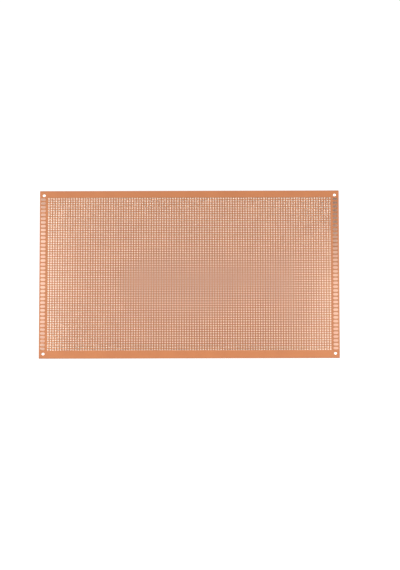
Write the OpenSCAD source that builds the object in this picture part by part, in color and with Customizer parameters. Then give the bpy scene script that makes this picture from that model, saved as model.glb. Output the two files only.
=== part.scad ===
// Prototype board: one sheet of phenolic paper laminate lying copper side up.
// A grid of component holes covers it, each hole with a round copper pad, and a row of
// bare copper contacts runs along each short edge. The origin is at the middle of the underside.

/* [Board] */
// Length of the laminate, along X
board_length = 300; // [280:1:320]
// Width of the laminate, along Y
board_width = 180; // [160:1:200]
// Thickness of the laminate
board_thickness = 1.2; // [0.8:0.1:3.2]

/* [Hole grid] */
// Distance from one grid point to the next, along X and along Y
pitch = 2.54; // [2.5:0.01:2.6]
// Least distance from a short edge to the first column of holes
end_margin = 9; // [8.5:0.1:12]
// Least distance from a long edge to the first row of holes
side_margin = 8.2; // [8:0.1:12]
// How far the grid and the contacts lie from the middle of the board, along Y
grid_shift = 0.5; // [-1:0.1:1]
// Diameter of a component hole
hole_d = 1; // [0.8:0.05:1.3]
// Of so many grid points along each axis, one is drilled and ringed as a solid
drill_step = 3; // [3:1:8]

/* [Copper] */
// Thickness of the copper foil
foil_thickness = 0.035; // [0.03:0.005:0.2]
// Diameter of a round pad
pad_d = 2.1; // [1.6:0.05:2.3]

/* [Edge contacts] */
// Length of a contact, along X
contact_length = 5; // [3.5:0.1:6]
// Width of a contact, along Y
contact_width = 2.8; // [2:0.1:3.4]
// Distance from one contact to the next, along Y
contact_pitch = 4.12; // [3.9:0.02:4.4]
// Distance from the left edge to the ends of the left contacts
left_inset = 1; // [0.5:0.1:1.5]
// Distance from the right edge to the ends of the right contacts
right_inset = 1.3; // [0.5:0.1:1.5]
// Least distance from a long edge to the middle of the first contact
contact_margin = 9.1; // [9:0.1:12]

/* [Mounting holes] */
// Diameter of the four corner holes
mount_d = 3; // [2:0.1:3.5]
// Distance from a short edge to the middle of a corner hole
mount_end = 4.25; // [3.5:0.05:5]
// Distance from a long edge to the middle of a corner hole
mount_side = 4.75; // [3.5:0.05:5]

/* [Hidden] */
$fn = 32;
columns = floor((board_length - 2 * end_margin) / pitch) + 1;
rows = floor((board_width - 2 * side_margin) / pitch) + 1;
first_column = floor(((columns - 1) % drill_step) / 2);
first_row = floor(((rows - 1) % drill_step) / 2);
contact_count = floor((board_width - 2 * contact_margin) / contact_pitch) + 1;
left_contact_x = -board_length / 2 + left_inset;
right_contact_x = board_length / 2 - right_inset - contact_length;
function column_x(i) = (i - (columns - 1) / 2) * pitch;
function row_y(j) = (j - (rows - 1) / 2) * pitch + grid_shift;
function contact_y(k) = (k - (contact_count - 1) / 2) * contact_pitch + grid_shift;

// A disc at each grid point that is drilled
module grid_discs(d) {
    for (i = [first_column : drill_step : columns - 1], j = [first_row : drill_step : rows - 1])
        translate([column_x(i), row_y(j)]) circle(d = d);
}

// The four corner holes
module corner_discs() {
    for (sx = [-1, 1], sy = [-1, 1])
        translate([sx * (board_length / 2 - mount_end), sy * (board_width / 2 - mount_side)])
            circle(d = mount_d);
}

// An oblong with round ends, its left end at x = 0
module oblong(length, width) {
    translate([width / 2, 0]) circle(d = width);
    translate([length - width / 2, 0]) circle(d = width);
    translate([width / 2, -width / 2]) square([length - width, width]);
}

// A column of contacts, their left ends at x
module contacts(x) {
    translate([0, 0, board_thickness]) linear_extrude(foil_thickness)
        for (k = [0 : contact_count - 1])
            translate([x, contact_y(k)]) oblong(contact_length, contact_width);
}

// The sheared and drilled sheet
module laminate() {
    color([0.84, 0.55, 0.35]) linear_extrude(board_thickness) difference() {
        square([board_length, board_width], center = true);
        grid_discs(hole_d);
        corner_discs();
    }
}

// Round pads etched from the foil, each with its hole drilled through
module copper_pads() {
    color([0.85, 0.62, 0.5]) translate([0, 0, board_thickness]) linear_extrude(foil_thickness)
        difference() {
            grid_discs(pad_d);
            grid_discs(hole_d);
        }
}

module left_contacts() {
    color([0.96, 0.8, 0.68]) contacts(left_contact_x);
}

module right_contacts() {
    color([0.96, 0.8, 0.68]) contacts(right_contact_x);
}

laminate();
copper_pads();
left_contacts();
right_contacts();
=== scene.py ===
import math

import bpy
import numpy as np
from mathutils import Matrix, Vector


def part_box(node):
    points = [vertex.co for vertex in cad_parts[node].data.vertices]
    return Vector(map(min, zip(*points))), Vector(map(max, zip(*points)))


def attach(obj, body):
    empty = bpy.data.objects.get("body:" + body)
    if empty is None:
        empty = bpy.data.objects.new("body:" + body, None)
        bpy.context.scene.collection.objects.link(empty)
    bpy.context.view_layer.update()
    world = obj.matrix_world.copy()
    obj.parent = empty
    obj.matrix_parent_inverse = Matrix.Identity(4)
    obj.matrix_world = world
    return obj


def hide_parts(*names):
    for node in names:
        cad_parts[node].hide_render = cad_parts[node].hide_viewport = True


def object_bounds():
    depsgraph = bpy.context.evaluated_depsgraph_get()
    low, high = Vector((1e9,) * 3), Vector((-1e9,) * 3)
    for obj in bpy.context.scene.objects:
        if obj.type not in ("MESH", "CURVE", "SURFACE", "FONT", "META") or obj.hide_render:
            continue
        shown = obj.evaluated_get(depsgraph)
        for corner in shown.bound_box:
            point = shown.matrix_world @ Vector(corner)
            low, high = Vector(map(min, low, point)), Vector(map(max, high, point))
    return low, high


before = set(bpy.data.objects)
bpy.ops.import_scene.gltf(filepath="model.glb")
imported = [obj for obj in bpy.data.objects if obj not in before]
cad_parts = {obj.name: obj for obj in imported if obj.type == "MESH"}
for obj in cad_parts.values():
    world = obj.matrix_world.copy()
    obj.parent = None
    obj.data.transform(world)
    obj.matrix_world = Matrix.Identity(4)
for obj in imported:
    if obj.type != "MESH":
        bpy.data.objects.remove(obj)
cad_low, cad_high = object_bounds()

# Laminate: one sheet of brown phenolic paper, sheared to size and drilled.
# Paper plies soaked in resin and pressed flat give it a satin skin with faint fibres, and the sheared
# edges are rougher and darker. The drilled walls are paler: partly the fresh-cut paper's own colour,
# partly painted light that stands for light scattered through the thin paper, which brightens the
# holes. It lies on its bare underside.
BOARD_LOW, BOARD_HIGH = (np.array(corner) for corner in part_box("laminate"))
PITCH = 0.00254
COLUMNS, ROWS = 112, 65
HOLE_RADIUS = 0.0005
HOLE_SIDES = 8
PAD_LOW, PAD_HIGH = (np.array(corner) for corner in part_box("copper_pads"))
PAD_RADIUS = 0.00105
FIRST_HOLE = PAD_LOW[:2] + PAD_RADIUS
MOUNT_RADIUS = 0.0015
MOUNT_SIDES = 32
MOUNT_END, MOUNT_SIDE = 0.00425, 0.00475
SKIN_SLOT, EDGE_SLOT, WALL_SLOT = 0, 1, 2
LAMINATE_SKIN = (0.66, 0.25, 0.10)
LAMINATE_FIBRE = (0.51, 0.178, 0.072)
LAMINATE_EDGE = (0.40, 0.135, 0.05)
# Paler than the skin: the drilled paper's own colour with painted light for light scattered through
# the thin paper
DRILLED_WALL_WITH_PAINTED_LIGHT = (0.80, 0.52, 0.34)


def mesh_piece(name, vertices, faces, material_slots, materials, round_slot=None):
    """A mesh object from arrays: vertices is n by 3, and faces is a list of arrays of corner indices,
    one row a face, each array with its own material slot. Only faces of round_slot shade smooth."""
    mesh = bpy.data.meshes.new(name)
    mesh.vertices.add(len(vertices))
    mesh.vertices.foreach_set("co", np.ascontiguousarray(vertices, np.float32).ravel())
    corners = np.concatenate([f.ravel() for f in faces])
    sizes = np.concatenate([np.full(len(f), f.shape[1]) for f in faces])
    starts = np.concatenate([[0], np.cumsum(sizes)[:-1]])
    mesh.loops.add(len(corners))
    mesh.loops.foreach_set("vertex_index", corners.astype(np.int32))
    mesh.polygons.add(len(sizes))
    mesh.polygons.foreach_set("loop_start", starts.astype(np.int32))
    slots = np.concatenate([np.full(len(f), s) for f, s in zip(faces, material_slots)])
    mesh.polygons.foreach_set("material_index", slots.astype(np.int32))
    mesh.polygons.foreach_set("use_smooth", slots == round_slot)
    for material in materials:
        mesh.materials.append(material)
    mesh.update(calc_edges=True)
    mesh.validate()
    piece = bpy.data.objects.new(name, mesh)
    bpy.context.collection.objects.link(piece)
    return piece


def lines_through(low, high, holes, pitch):
    """Grid lines from low to high that pass midway between the holes, with low and high themselves."""
    between = holes[0] - pitch / 2 + pitch * np.arange(len(holes) + 1)
    return np.unique(np.round(np.concatenate([[low], between, [high]]), 9))


def circle(centres, radius, sides, z):
    """Points at equal turns round each centre, the first towards the lower left corner of its cell."""
    turn = math.radians(225) + 2 * math.pi * np.arange(sides) / sides
    ring = radius * np.stack([np.cos(turn), np.sin(turn)], 1)
    flat = centres[:, None, :] + ring[None]
    return np.concatenate([flat, np.full(flat.shape[:2] + (1,), z)], 2)


def holed_cells(corners, ring):
    """Triangles between each cell's four corners and its ring: one on each side of the cell, and a
    fan from each corner to the points of the ring that lie nearest to it."""
    sides = ring.shape[1]
    quarter = sides // 4
    out = []
    for q in range(4):
        here, after = corners[:, q], corners[:, (q + 1) % 4]
        middle = q * quarter + quarter // 2
        out.append(np.stack([here, after, ring[:, middle]], 1))
        for k in range(q * quarter, (q + 1) * quarter):
            corner = here if k < middle else after
            out.append(np.stack([corner, ring[:, (k + 1) % sides], ring[:, k]], 1))
    return np.concatenate(out)


def drilled_sheet(x_lines, y_lines, rings, low, high):
    """A flat sheet between two heights, as a grid of cells. rings is a list of (centres, radius,
    sides): the cell round each centre is open inside a circle, whose wall joins the two faces."""
    nx, ny = len(x_lines), len(y_lines)
    gx, gy = np.meshgrid(x_lines, y_lines, indexing="ij")
    flat = np.stack([gx.ravel(), gy.ravel()], 1)
    vertices = [np.c_[flat, np.full(len(flat), z)] for z in (high, low)]
    at = np.arange(nx * ny).reshape(nx, ny)
    cells = np.stack([at[:-1, :-1], at[1:, :-1], at[1:, 1:], at[:-1, 1:]], 2).reshape(-1, 4)
    plain = np.ones(len(cells), bool)
    under = nx * ny
    count = 2 * under
    skin, walls = [], []
    for centres, radius, sides in rings:
        i = np.searchsorted(x_lines, centres[:, 0]) - 1
        j = np.searchsorted(y_lines, centres[:, 1]) - 1
        cell = i * (ny - 1) + j
        plain[cell] = False
        top = count + np.arange(len(centres) * sides).reshape(-1, sides)
        bottom = top + len(centres) * sides
        vertices += [circle(centres, radius, sides, z).reshape(-1, 3) for z in (high, low)]
        count += 2 * len(centres) * sides
        skin.append(holed_cells(cells[cell], top))
        skin.append(holed_cells(cells[cell] + under, bottom)[:, ::-1])
        after = np.roll(top, -1, 1), np.roll(bottom, -1, 1)
        walls.append(np.stack([top, after[0], after[1], bottom], 2).reshape(-1, 4))
    quads = [cells[plain], cells[plain][:, ::-1] + under]
    rim = []
    for run in (at[:, 0], at[-1, :], at[::-1, -1], at[0, ::-1]):
        rim.append(np.stack([run[:-1] + under, run[1:] + under, run[1:], run[:-1]], 1))
    faces = skin + quads + rim + walls
    slots = [SKIN_SLOT] * (len(skin) + 2) + [EDGE_SLOT] * 4 + [WALL_SLOT] * len(walls)
    return np.concatenate(vertices), faces, slots


def node_of(tree, kind, place, **values):
    """A new node of this kind, with the values given for its settings or its sockets."""
    node = tree.nodes.new(kind)
    node.location = place
    for name, value in values.items():
        if hasattr(node, name):
            setattr(node, name, value)
        else:
            node.inputs[name.replace("_", " ")].default_value = value
    return node


def add_sockets(group, side, **kinds):
    """Sockets of a node group on its input or output side, each with its kind of value."""
    for name, kind in kinds.items():
        group.interface.new_socket(name, in_out=side, socket_type="NodeSocket" + kind)


def paper_group():
    """Pressed paper: pale and dark clouds, long fibres along the sheet and small dark specks.
    Colour is the base, darkened by each. Shade is a value for roughness, and Height one for bump."""
    group = bpy.data.node_groups.new("pressed_paper", "ShaderNodeTree")
    add_sockets(group, "INPUT", Vector="Vector", Skin="Color", Fibre="Color", Amount="Float")
    add_sockets(group, "OUTPUT", Color="Color", Shade="Float", Height="Float")
    link = group.links.new
    start = node_of(group, "NodeGroupInput", (-900, 0))
    end = node_of(group, "NodeGroupOutput", (700, 0))
    clouds = node_of(group, "ShaderNodeTexNoise", (-600, 300), Scale=35, Detail=4, Roughness=0.6)
    stretch = node_of(group, "ShaderNodeVectorMath", (-750, 0), operation="MULTIPLY")
    stretch.inputs[1].default_value = (0.12, 1.0, 1.0)
    fibres = node_of(group, "ShaderNodeTexNoise", (-600, 0), Scale=2600, Detail=3, Roughness=0.7)
    specks = node_of(group, "ShaderNodeTexVoronoi", (-600, -300), Scale=420)
    dots = node_of(group, "ShaderNodeMapRange", (-400, -300), From_Min=0.05, From_Max=0.13)
    dots.inputs["To Min"].default_value = 1.0
    dots.inputs["To Max"].default_value = 0.0
    cloud_range = node_of(group, "ShaderNodeMapRange", (-400, 300), From_Min=0.3, From_Max=0.7)
    link(start.outputs["Vector"], clouds.inputs["Vector"])
    link(start.outputs["Vector"], stretch.inputs[0])
    link(stretch.outputs["Vector"], fibres.inputs["Vector"])
    link(start.outputs["Vector"], specks.inputs["Vector"])
    link(clouds.outputs["Fac"], cloud_range.inputs["Value"])
    link(specks.outputs["Distance"], dots.inputs["Value"])
    both = node_of(group, "ShaderNodeMath", (-200, 150), operation="MULTIPLY_ADD")
    both.inputs[1].default_value = 0.5
    half = node_of(group, "ShaderNodeMath", (-350, 50), operation="MULTIPLY")
    half.inputs[1].default_value = 0.5
    link(fibres.outputs["Fac"], half.inputs[0])
    link(cloud_range.outputs["Result"], both.inputs[0])
    link(half.outputs["Value"], both.inputs[2])
    share = node_of(group, "ShaderNodeMath", (0, 150), operation="MULTIPLY")
    link(both.outputs["Value"], share.inputs[0])
    link(start.outputs["Amount"], share.inputs[1])
    tint = node_of(group, "ShaderNodeMix", (200, 150), data_type="RGBA")
    link(share.outputs["Value"], tint.inputs["Factor"])
    link(start.outputs["Skin"], tint.inputs["A"])
    link(start.outputs["Fibre"], tint.inputs["B"])
    spot = node_of(group, "ShaderNodeMath", (200, -150), operation="MULTIPLY")
    spot.inputs[1].default_value = 0.35
    link(dots.outputs["Result"], spot.inputs[0])
    speckled = node_of(group, "ShaderNodeMix", (400, 50), data_type="RGBA", blend_type="MULTIPLY")
    speckled.inputs["B"].default_value = (0.45, 0.35, 0.3, 1)
    link(spot.outputs["Value"], speckled.inputs["Factor"])
    link(tint.outputs["Result"], speckled.inputs["A"])
    link(speckled.outputs["Result"], end.inputs["Color"])
    link(both.outputs["Value"], end.inputs["Shade"])
    link(fibres.outputs["Fac"], end.inputs["Height"])
    return group


PAPER = paper_group()


def paper_material(name, skin, fibre, amount, rough, bump, coat):
    """Phenolic paper: the pressed paper group on a plain shader, with a thin resin coat."""
    material = bpy.data.materials.new(name)
    material.use_nodes = True
    tree = material.node_tree
    shader = tree.nodes["Principled BSDF"]
    place = node_of(tree, "ShaderNodeTexCoord", (-900, 0))
    paper = node_of(tree, "ShaderNodeGroup", (-650, 0), node_tree=PAPER)
    paper.inputs["Skin"].default_value = (*skin, 1)
    paper.inputs["Fibre"].default_value = (*fibre, 1)
    paper.inputs["Amount"].default_value = amount
    gloss = node_of(tree, "ShaderNodeMapRange", (-350, -150))
    gloss.inputs["To Min"].default_value = rough - 0.06
    gloss.inputs["To Max"].default_value = rough + 0.1
    relief = node_of(tree, "ShaderNodeBump", (-350, -400), Strength=0.5, Distance=bump)
    tree.links.new(place.outputs["Object"], paper.inputs["Vector"])
    tree.links.new(paper.outputs["Color"], shader.inputs["Base Color"])
    tree.links.new(paper.outputs["Shade"], gloss.inputs["Value"])
    tree.links.new(gloss.outputs["Result"], shader.inputs["Roughness"])
    tree.links.new(paper.outputs["Height"], relief.inputs["Height"])
    tree.links.new(relief.outputs["Normal"], shader.inputs["Normal"])
    shader.inputs["Coat Weight"].default_value = coat
    shader.inputs["Coat Roughness"].default_value = 0.3
    return material


laminate_looks = [
    paper_material("laminate_skin", LAMINATE_SKIN, LAMINATE_FIBRE, 0.8, 0.5, 0.00002, 0.15),
    paper_material("laminate_sheared_edge", LAMINATE_EDGE, LAMINATE_FIBRE, 0.9, 0.75, 0.00008, 0.0),
    # drilled walls: their own pale colour plus painted light that brightens the holes
    paper_material("laminate_drilled_wall_with_painted_light", DRILLED_WALL_WITH_PAINTED_LIGHT, LAMINATE_FIBRE, 0.3, 0.4, 0.00003, 0.0),
]

hole_x = FIRST_HOLE[0] + PITCH * np.arange(COLUMNS)
hole_y = FIRST_HOLE[1] + PITCH * np.arange(ROWS)
grid_holes = np.stack(np.meshgrid(hole_x, hole_y, indexing="ij"), 2).reshape(-1, 2)
all_x = lines_through(BOARD_LOW[0], BOARD_HIGH[0], hole_x, PITCH)
all_y = lines_through(BOARD_LOW[1], BOARD_HIGH[1], hole_y, PITCH)
middle_x = all_x[len(all_x) // 2]
for side, name in ((-1, "laminate_left_half"), (1, "laminate_right_half")):
    kept = all_x[side * (all_x - middle_x) >= 0]
    holes = grid_holes[side * (grid_holes[:, 0] - middle_x) > 0]
    end = (BOARD_LOW[0] + MOUNT_END) if side < 0 else (BOARD_HIGH[0] - MOUNT_END)
    mounts = np.array([[end, BOARD_LOW[1] + MOUNT_SIDE], [end, BOARD_HIGH[1] - MOUNT_SIDE]])
    rings = [(holes, HOLE_RADIUS, HOLE_SIDES), (mounts, MOUNT_RADIUS, MOUNT_SIDES)]
    vertices, faces, slots = drilled_sheet(kept, all_y, rings, BOARD_LOW[2], BOARD_HIGH[2])
    half = mesh_piece(name, vertices, faces, slots, laminate_looks, WALL_SLOT)
    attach(half, "root")
    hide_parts("laminate")

# Copper pads: round pads etched from the foil, one round each component hole.
# They are 35 micron copper bonded to the laminate, dull pink under a thin coat of clear flux, and
# each one has tarnished a little differently.
PAD_PIECES = 4
# Wider than etching leaves it, so that the grid reads from the camera
PAD_SLOPE = 0.00006
PAD_SMOOTHEST, PAD_ROUGHEST = 0.285, 0.36
PAD_CLEAN = (0.95, 0.71, 0.55)
PAD_TARNISH = (0.88, 0.63, 0.47)


def ring_pads(centres, inner, outer, slope, low, high, sides):
    """Closed flat rings with etched, sloping sides: four corners, inner and outer at low, and both
    drawn in by slope at high, carried round each centre. Both parameters close on themselves."""
    corners = ((inner, low), (outer, low), (outer - slope, high), (inner + slope, high))
    rings = [circle(centres, radius, sides, z) for radius, z in corners]
    vertices = np.stack(rings, 1)
    at = np.arange(vertices[..., 0].size).reshape(vertices.shape[:3])
    along = np.roll(at, -1, 1)
    quads = np.stack([at, np.roll(at, -1, 2), np.roll(along, -1, 2), along], 3)
    return vertices.reshape(-1, 3), quads.reshape(-1, 4)


def tarnish_group():
    """Copper that has aged unevenly: one tint for each cell of Cell, and soft smudges across them.
    Color runs from clean to tarnished, Shade is a value for roughness, and Height one for bump."""
    group = bpy.data.node_groups.new("copper_tarnish", "ShaderNodeTree")
    add_sockets(group, "INPUT", Vector="Vector", Cell="Vector", Clean="Color", Tarnish="Color")
    add_sockets(group, "OUTPUT", Color="Color", Shade="Float", Height="Float")
    link = group.links.new
    start = node_of(group, "NodeGroupInput", (-900, 0))
    end = node_of(group, "NodeGroupOutput", (500, 0))
    snapped = node_of(group, "ShaderNodeVectorMath", (-700, 250), operation="SNAP")
    each = node_of(group, "ShaderNodeTexWhiteNoise", (-500, 250), noise_dimensions="3D")
    smudge = node_of(group, "ShaderNodeTexNoise", (-700, -50), Scale=45, Detail=5, Roughness=0.65)
    grain = node_of(group, "ShaderNodeTexNoise", (-700, -350), Scale=5200, Detail=2)
    link(start.outputs["Vector"], snapped.inputs[0])
    link(start.outputs["Cell"], snapped.inputs[1])
    link(snapped.outputs["Vector"], each.inputs["Vector"])
    link(start.outputs["Vector"], smudge.inputs["Vector"])
    link(start.outputs["Vector"], grain.inputs["Vector"])
    soft = node_of(group, "ShaderNodeMapRange", (-450, -50), From_Min=0.3, From_Max=0.7)
    link(smudge.outputs["Fac"], soft.inputs["Value"])
    mean = node_of(group, "ShaderNodeMath", (-200, 100), operation="MULTIPLY_ADD")
    mean.inputs[1].default_value = 0.45
    rest = node_of(group, "ShaderNodeMath", (-350, 250), operation="MULTIPLY")
    rest.inputs[1].default_value = 0.55
    link(each.outputs["Value"], rest.inputs[0])
    link(soft.outputs["Result"], mean.inputs[0])
    link(rest.outputs["Value"], mean.inputs[2])
    tint = node_of(group, "ShaderNodeMix", (100, 100), data_type="RGBA")
    link(mean.outputs["Value"], tint.inputs["Factor"])
    link(start.outputs["Clean"], tint.inputs["A"])
    link(start.outputs["Tarnish"], tint.inputs["B"])
    link(tint.outputs["Result"], end.inputs["Color"])
    link(mean.outputs["Value"], end.inputs["Shade"])
    link(grain.outputs["Fac"], end.inputs["Height"])
    return group


TARNISH = tarnish_group()


def copper_material(name, clean, tarnish, cell, origin, smoothest, roughest):
    """Bare copper under clear flux. cell is the spacing of the pieces that differ in tint, and
    origin is the middle of one of them."""
    material = bpy.data.materials.new(name)
    material.use_nodes = True
    tree = material.node_tree
    shader = tree.nodes["Principled BSDF"]
    place = node_of(tree, "ShaderNodeTexCoord", (-1100, 0))
    centred = node_of(tree, "ShaderNodeMapping", (-900, 0))
    centred.inputs["Location"].default_value = [c / 2 - o for c, o in zip(cell, origin)]
    copper = node_of(tree, "ShaderNodeGroup", (-650, 0), node_tree=TARNISH)
    copper.inputs["Cell"].default_value = cell
    copper.inputs["Clean"].default_value = (*clean, 1)
    copper.inputs["Tarnish"].default_value = (*tarnish, 1)
    gloss = node_of(tree, "ShaderNodeMapRange", (-350, -150))
    gloss.inputs["To Min"].default_value = smoothest
    gloss.inputs["To Max"].default_value = roughest
    relief = node_of(tree, "ShaderNodeBump", (-350, -400), Strength=0.4, Distance=0.000006)
    tree.links.new(place.outputs["Object"], centred.inputs["Vector"])
    tree.links.new(centred.outputs["Vector"], copper.inputs["Vector"])
    tree.links.new(copper.outputs["Color"], shader.inputs["Base Color"])
    tree.links.new(copper.outputs["Shade"], gloss.inputs["Value"])
    tree.links.new(gloss.outputs["Result"], shader.inputs["Roughness"])
    tree.links.new(copper.outputs["Height"], relief.inputs["Height"])
    tree.links.new(relief.outputs["Normal"], shader.inputs["Normal"])
    shader.inputs["Metallic"].default_value = 1.0
    shader.inputs["Coat Weight"].default_value = 0.25
    shader.inputs["Coat Roughness"].default_value = 0.2
    return material


pad_look = copper_material(
    "pad_copper",
    PAD_CLEAN,
    PAD_TARNISH,
    (PITCH, PITCH, 1.0),
    (*FIRST_HOLE, 0.0),
    PAD_SMOOTHEST,
    PAD_ROUGHEST,
)
for number, columns in enumerate(np.array_split(hole_x, PAD_PIECES), 1):
    centres = np.stack(np.meshgrid(columns, hole_y, indexing="ij"), 2).reshape(-1, 2)
    vertices, quads = ring_pads(
        centres, HOLE_RADIUS, PAD_RADIUS, PAD_SLOPE, PAD_LOW[2], PAD_HIGH[2], HOLE_SIDES
    )
    pads = mesh_piece(f"copper_pads_{number}", vertices, [quads], [0], [pad_look])
    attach(pads, "root")
    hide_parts("copper_pads")

# Edge contacts: oblong contacts with round ends, etched from the same foil in one column along
# each short edge. They carry the same flux as the pads, and shine more because they are larger.
CONTACT_CLEAN = (0.95, 0.64, 0.49)
CONTACT_TARNISH = (0.90, 0.54, 0.40)
CONTACT_SMOOTHEST, CONTACT_ROUGHEST = 0.28, 0.33
CONTACT_PITCH = 0.00412
column_low, column_high = (np.array(corner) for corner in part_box("left_contacts"))
column_middle = (column_low + column_high) / 2
contact_look = copper_material(
    "contact_copper",
    CONTACT_CLEAN,
    CONTACT_TARNISH,
    (1.0, CONTACT_PITCH, 1.0),
    (0.0, column_middle[1] + CONTACT_PITCH / 2, 0.0),
    CONTACT_SMOOTHEST,
    CONTACT_ROUGHEST,
)
for name in ("left_contacts", "right_contacts"):
    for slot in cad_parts[name].material_slots:
        slot.material = contact_look

# Floor: a white studio sweep that takes the board's soft shadow. The patch that the board covers is
# nearly black, because over a pale one the denoiser smooths the grid of holes away. Its glow is
# brighter than the 1 that is white, so the holes read lighter than a white floor would show them.
FLOOR_HALF = 4.0
FLOOR_GAP = 0.0001
COVERED_TILE = 4
FLOOR_WHITE, FLOOR_GLOW = 0.3, 0.8
COVERED_WHITE, COVERED_GLOW = 0.02, 1.5


def floor_material(name, white, strength):
    """Matt grey as pale as white says, that also glows for the rays that show the background."""
    material = bpy.data.materials.new(name)
    material.use_nodes = True
    tree = material.node_tree
    shader = tree.nodes["Principled BSDF"]
    shader.inputs["Base Color"].default_value = (white, white, white, 1)
    shader.inputs["Roughness"].default_value = 0.9
    shader.inputs["Emission Color"].default_value = (1, 1, 1, 1)
    path = node_of(tree, "ShaderNodeLightPath", (-700, 0))
    seen = node_of(tree, "ShaderNodeMath", (-500, 0), operation="MAXIMUM")
    shown = node_of(tree, "ShaderNodeMath", (-350, 0), operation="MAXIMUM")
    glow = node_of(tree, "ShaderNodeMath", (-200, 0), operation="MULTIPLY")
    glow.inputs[1].default_value = strength
    tree.links.new(path.outputs["Is Camera Ray"], seen.inputs[0])
    tree.links.new(path.outputs["Is Glossy Ray"], seen.inputs[1])
    tree.links.new(seen.outputs["Value"], shown.inputs[0])
    tree.links.new(path.outputs["Is Transmission Ray"], shown.inputs[1])
    tree.links.new(shown.outputs["Value"], glow.inputs[0])
    tree.links.new(glow.outputs["Value"], shader.inputs["Emission Strength"])
    return material


floor_z = float(cad_low[2]) - FLOOR_GAP
across = [-FLOOR_HALF, BOARD_LOW[0], BOARD_HIGH[0], FLOOR_HALF]
along = [-FLOOR_HALF, BOARD_LOW[1], BOARD_HIGH[1], FLOOR_HALF]
gx, gy = np.meshgrid(across, along, indexing="ij")
at = np.arange(gx.size).reshape(gx.shape)
tiles = np.stack([at[:-1, :-1], at[1:, :-1], at[1:, 1:], at[:-1, 1:]], 2).reshape(-1, 4)
floor = mesh_piece(
    "floor",
    np.stack([gx.ravel(), gy.ravel(), np.full(gx.size, floor_z)], 1),
    [np.delete(tiles, COVERED_TILE, 0), tiles[COVERED_TILE : COVERED_TILE + 1]],
    [0, 1],
    [
        floor_material("studio_floor", FLOOR_WHITE, FLOOR_GLOW),
        floor_material("covered_floor", COVERED_WHITE, COVERED_GLOW),
    ],
)

# Studio light: an even pale surround, a large soft panel behind the board whose near edge the
# copper mirrors as a slow fade, a panel over each end, and one on the camera's side.
SURROUND = 0.08
world = bpy.data.worlds.new("studio")
bpy.context.scene.world = world
world.use_nodes = True
surround = world.node_tree.nodes["Background"]
path = node_of(world.node_tree, "ShaderNodeLightPath", (-700, 0))
strength = node_of(world.node_tree, "ShaderNodeMapRange", (-300, 0))
strength.inputs["To Min"].default_value = SURROUND
strength.inputs["To Max"].default_value = 1.0
surround.inputs["Color"].default_value = (1, 1, 1, 1)
world.node_tree.links.new(path.outputs["Is Camera Ray"], strength.inputs["Value"])
world.node_tree.links.new(strength.outputs["Result"], surround.inputs["Strength"])


def soft_panel(name, low_x, low_y, high_x, high_y, height, power):
    """A level area lamp that faces down, given by two corners of its rectangle."""
    lamp = bpy.data.lights.new(name, "AREA")
    lamp.shape = "RECTANGLE"
    lamp.size, lamp.size_y = high_x - low_x, high_y - low_y
    lamp.energy = power
    panel = bpy.data.objects.new(name, lamp)
    panel.location = ((low_x + high_x) / 2, (low_y + high_y) / 2, height)
    bpy.context.collection.objects.link(panel)


soft_panel("back_panel", -0.9, 0.3, 0.18, 1.2, 0.6, 1.6)
soft_panel("left_panel", -0.2, -0.03, -0.158, 0.15, 0.2, 0.066)
soft_panel("right_panel", 0.158, -0.06, 0.2, 0.107, 0.2, 0.068)
soft_panel("front_panel", -1.2, -2.2, 1.2, -0.6, 1.5, 73)

# Camera: a long lens above the near long edge, tilted so that the board is as foreshortened as in
# the photograph.
PICTURE_HIGH = 570
SENSOR_SIZE = 36
ELEVATION = math.radians(68.364)
AZIMUTH = math.radians(-0.8915)
ROLL = math.radians(-0.9703)
DISTANCE = 7.768
FOCAL_PIXELS = 7767.6
AIM = Vector((0.0107, -0.01133, 0.0))
back = Vector(
    (
        -math.sin(AZIMUTH) * math.cos(ELEVATION),
        -math.cos(AZIMUTH) * math.cos(ELEVATION),
        math.sin(ELEVATION),
    )
)
right = Vector((math.cos(AZIMUTH), -math.sin(AZIMUTH), 0))
up = back.cross(right)
turned_right = right * math.cos(ROLL) + up * math.sin(ROLL)
turned_up = up * math.cos(ROLL) - right * math.sin(ROLL)
lens = bpy.data.cameras.new("camera")
lens.sensor_width = SENSOR_SIZE
lens.lens = FOCAL_PIXELS * SENSOR_SIZE / PICTURE_HIGH
lens.clip_end = 50
camera = bpy.data.objects.new("camera", lens)
camera.matrix_world = Matrix.Translation(AIM + back * DISTANCE) @ Matrix(
    (turned_right, turned_up, back)
).transposed().to_4x4()
bpy.context.collection.objects.link(camera)
bpy.context.scene.camera = camera
bpy.context.scene.view_settings.view_transform = "Standard"
